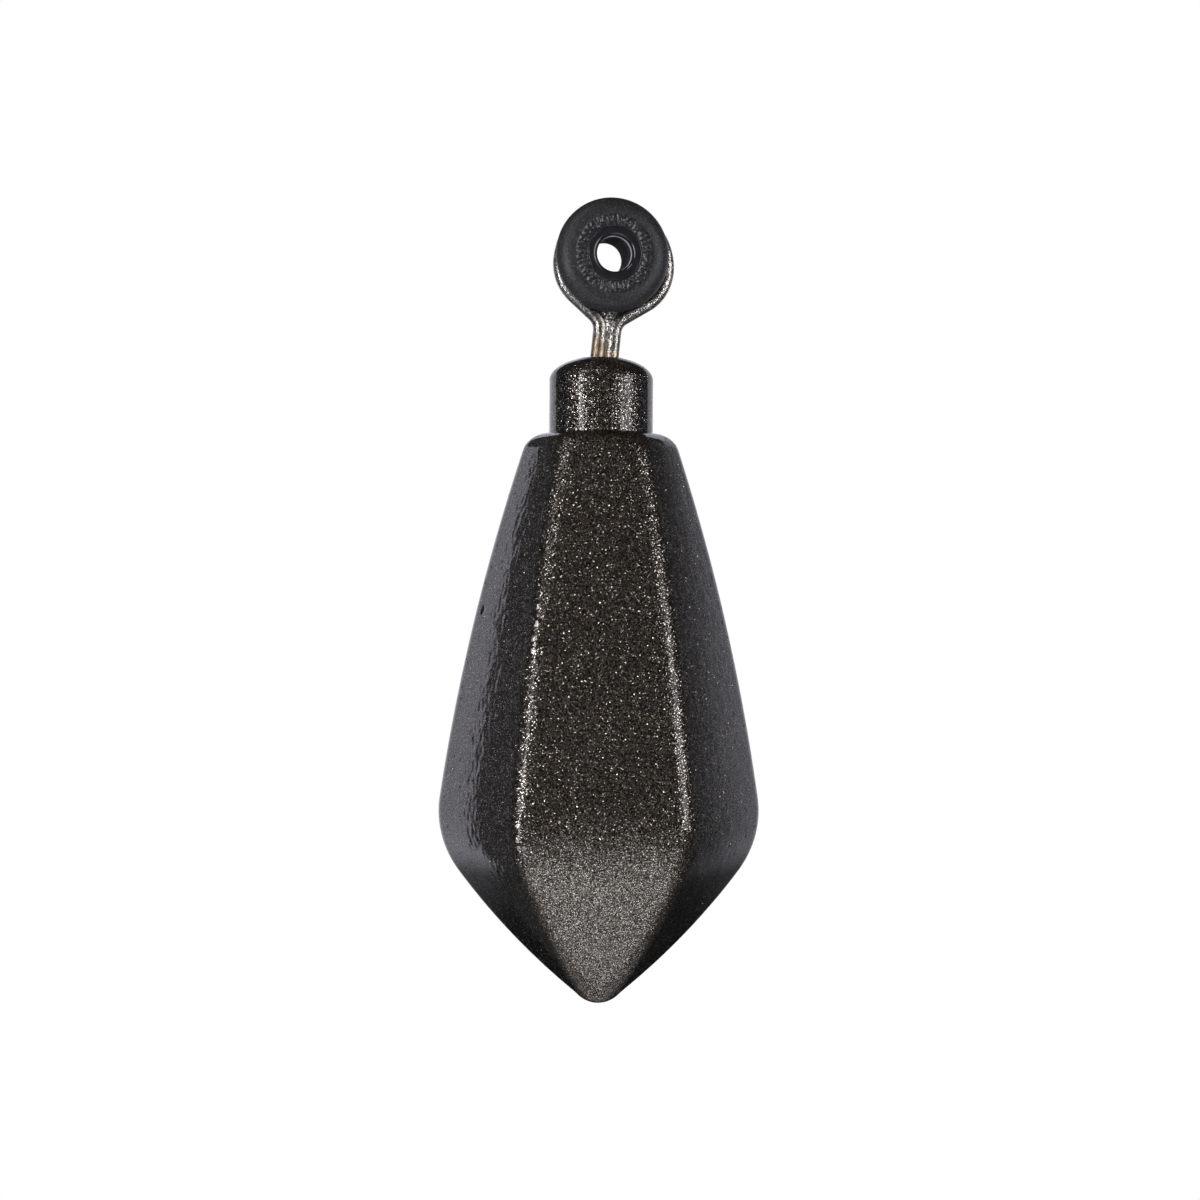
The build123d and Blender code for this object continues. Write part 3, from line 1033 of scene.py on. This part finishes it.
# angles in degrees round the object, from the camera to the picture's right; sizes in metres
lamps = (
    dict(name="leftSoftbox", angle=-46, rise=0.0, reach=0.35, size=(0.09, 0.34), radiance=15.5, fade=0.6),
    dict(name="rightSoftbox", angle=55, rise=0.04, reach=0.35, size=(0.22, 0.34), radiance=5.5, fade=0.6),
    dict(name="topSoftbox", angle=-50, rise=0.40, reach=0.31, size=(0.24, 0.24), radiance=4.5, fade=0.6),
    dict(name="underSoftbox", angle=0, rise=-0.104, reach=0.025, size=(0.165, 0.31), radiance=1.7, fade=0.9),
)


def fadeToEdges(tree, place, across, fade):
    # 1 in the middle, falling smoothly to 0 at both ends
    fromMiddle = mathNode(tree, "ABSOLUTE", place, mathNode(tree, "MULTIPLY_ADD", place, across, 2.0, -1.0))
    return mapRange(tree, place, fromMiddle, fromLow=1.0, fromHigh=1.0 - fade, smooth=True)


def softbox(name, angle, rise, reach, size, radiance, fade):
    # soft lamp that is turned towards the object's middle and is dim at its edges
    turn = math.radians(angle)
    place = Vector((math.sin(turn) * reach, -math.cos(turn) * reach, rise))
    data = bpy.data.lights.new(name, "AREA")
    data.shape = "RECTANGLE"
    data.size, data.size_y = size
    data.energy = radiance * math.pi * size[0] * size[1]
    data.use_nodes = True
    tree = data.node_tree
    surface = addNode(tree, "ShaderNodeNewGeometry", (-800, 0))
    split = addNode(tree, "ShaderNodeSeparateXYZ", (-600, 0))
    tree.links.new(surface.outputs["Parametric"], split.inputs[0])
    level = mathNode(tree, "MULTIPLY", (-200, 0), fadeToEdges(tree, (-400, 100), split.outputs["X"], fade),
                     fadeToEdges(tree, (-400, -100), split.outputs["Y"], fade))
    emission = next(node for node in tree.nodes if node.type == "EMISSION")
    feed(tree, emission, {"Strength": level})
    lamp = bpy.data.objects.new(name, data)
    lamp.location = middle + place
    lamp.rotation_mode = "QUATERNION"
    lamp.rotation_quaternion = place.to_track_quat("Z", "Y")
    lamp.visible_camera = False
    scene.collection.objects.link(lamp)


for lampValues in lamps:
    softbox(**lampValues)


def makeWorld():
    # white to the camera, dim to other light
    world = bpy.data.worlds.new("studioWorld")
    world.use_nodes = True
    tree = world.node_tree
    tree.nodes.clear()
    ray = addNode(tree, "ShaderNodeLightPath", (-400, 200)).outputs
    dim = addNode(tree, "ShaderNodeBackground", (-200, 0))
    bright = addNode(tree, "ShaderNodeBackground", (-200, -150))
    feed(tree, dim, {"Color": pureWhite, "Strength": studio["worldDim"]})
    feed(tree, bright, {"Color": pureWhite})
    mixedOutput(tree, "ShaderNodeOutputWorld", ray["Is Camera Ray"], dim, bright)
    scene.world = world


makeWorld()
scene.view_settings.view_transform = "Standard"

# lens, sensor and distance in millimetres, clips in metres
cameraSet = dict(
    lens=75.0, sensorWidth=36.0, distance=156.25, yaw=1.5, roll=0.32, clipStart=0.005, clipEnd=5.0,
)


def makeCamera():
    data = bpy.data.cameras.new("photoCamera")
    data.lens, data.sensor_width = cameraSet["lens"], cameraSet["sensorWidth"]
    data.clip_start, data.clip_end = cameraSet["clipStart"], cameraSet["clipEnd"]
    camera = bpy.data.objects.new("photoCamera", data)
    yaw, roll = math.radians(cameraSet["yaw"]), math.radians(cameraSet["roll"])
    ahead = Vector((math.sin(yaw), math.cos(yaw), 0))
    right = Vector((math.cos(yaw), -math.sin(yaw), 0))
    up = Vector((0, 0, 1))
    rolledRight = right * math.cos(roll) + up * math.sin(roll)
    rolledUp = up * math.cos(roll) - right * math.sin(roll)
    turn = Matrix((rolledRight, rolledUp, -ahead)).transposed()
    camera.rotation_mode = "QUATERNION"
    camera.rotation_quaternion = turn.to_quaternion()
    camera.location = middle - ahead * cameraSet["distance"] * mm
    scene.collection.objects.link(camera)
    scene.camera = camera


makeCamera()
print("studio set")
